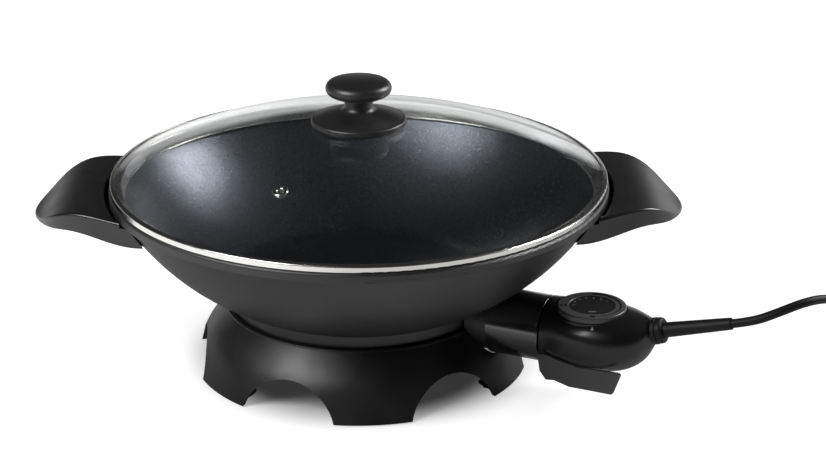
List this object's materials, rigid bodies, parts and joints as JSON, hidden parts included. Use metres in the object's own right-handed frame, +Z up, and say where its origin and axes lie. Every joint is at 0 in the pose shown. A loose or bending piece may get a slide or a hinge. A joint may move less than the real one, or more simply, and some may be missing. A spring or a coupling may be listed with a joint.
{
  "type": "electric wok",
  "caption": "Electric wok: a round cast pan on a skirted stand, with side handles, a lift-off glass lid with a knob, and a plug-in thermostat with a dial, a release lever and a mains cord.",
  "frame": {"origin": "on the table under the middle of the pan", "axes": "+X runs through the two side handles, +Y to the back, +Z up; the thermostat leaves the pan at the front right, 26 degrees from +X"},
  "size_m": [0.7061, 0.3619, 0.2154],
  "materials": {
    "base_plastic": "satin black moulded plastic",
    "rubber": "matte black",
    "zinc_steel": "zinc-plated screw steel",
    "cast_pan": "cast aluminium with dark non-stick coating",
    "element_sheath": "heater sheath, oxidised",
    "nickel_pin": "nickel-plated contact pins",
    "guard_plastic": "glossy black",
    "handle_phenolic": "satin black phenolic",
    "lid_glass": "clear tempered glass",
    "lid_steel": "polished stainless steel",
    "silicone": "black silicone",
    "knob_phenolic": "satin black phenolic",
    "plug_plastic": "satin black",
    "contact_ceramic": "dark heat-resistant moulding",
    "brass": "bare contact brass",
    "probe_steel": "stainless probe",
    "switch_ceramic": "off-white ceramic",
    "bimetal": "bimetal strip",
    "bracket_steel": "plated steel strap",
    "dial_grey": "satin mid grey",
    "dial_dark": "dark disc with plain numbers",
    "shaft_steel": "turned steel",
    "lever_grey": "matte dark grey",
    "pin_steel": "turned steel",
    "cord_plastic": "satin black",
    "cord_sheath": "satin black cord sheath"
  },
  "bodies": {
    "pan_and_base": {"base_skirt": "base_plastic", "rubber_feet": "rubber", "base_screws": "zinc_steel", "pan_bowl": "cast_pan", "heating_element": "element_sheath", "terminal_pins": "nickel_pin", "earth_pin": "nickel_pin", "socket_guard": "guard_plastic", "guard_screws": "zinc_steel", "right_handle": "handle_phenolic", "left_handle": "handle_phenolic", "handle_screws": "zinc_steel"},
    "lid": {"lid_glass": "lid_glass", "lid_rim": "lid_steel", "vent_eyelet": "lid_steel", "knob_gasket": "silicone", "knob_base": "knob_phenolic", "knob_cap": "knob_phenolic", "knob_screw": "zinc_steel", "knob_washer": "zinc_steel"},
    "thermostat": {"plug_upper_shell": "plug_plastic", "plug_lower_shell": "plug_plastic", "shell_screws": "zinc_steel", "contact_block": "contact_ceramic", "contact_sleeves": "brass", "probe_rod": "probe_steel", "switch_block": "switch_ceramic", "bimetal_strip": "bimetal", "switch_bracket": "bracket_steel", "lever_pins": "pin_steel", "cord_collar": "cord_plastic", "strain_relief": "cord_plastic", "cord_tube": "cord_sheath", "cord_coil": "cord_sheath", "cord_tail": "cord_sheath", "mains_plug": "cord_plastic", "mains_pins": "nickel_pin", "earth_clips": "brass"},
    "dial": {"dial_ring": "dial_grey", "dial_disc": "dial_dark", "dial_shaft": "shaft_steel"},
    "lever": {"release_lever": "lever_grey"}
  },
  "joints": [
    {"name": "lid_lift", "type": "slide", "parent": "pan_and_base", "child": "lid", "axis": [0, 0, 1], "range_m": [0, 0.25]},
    {"name": "thermostat_pull", "type": "slide", "parent": "pan_and_base", "child": "thermostat", "axis": [0.8988, -0.4384, 0], "range_m": [0, 0.12]},
    {"name": "dial_turn", "type": "hinge", "parent": "thermostat", "child": "dial", "pos_m": [0.16358, -0.07978, 0.07], "axis": [0, 0, -1], "range_deg": [0, 270]},
    {"name": "release_press", "type": "hinge", "parent": "thermostat", "child": "lever", "pos_m": [0.14165, -0.06909, 0.0354], "axis": [0.4384, 0.8988, 0], "range_deg": [0, 12], "stiffness_Nm_per_rad": 0.6, "springref_deg": -8.59}
  ]
}
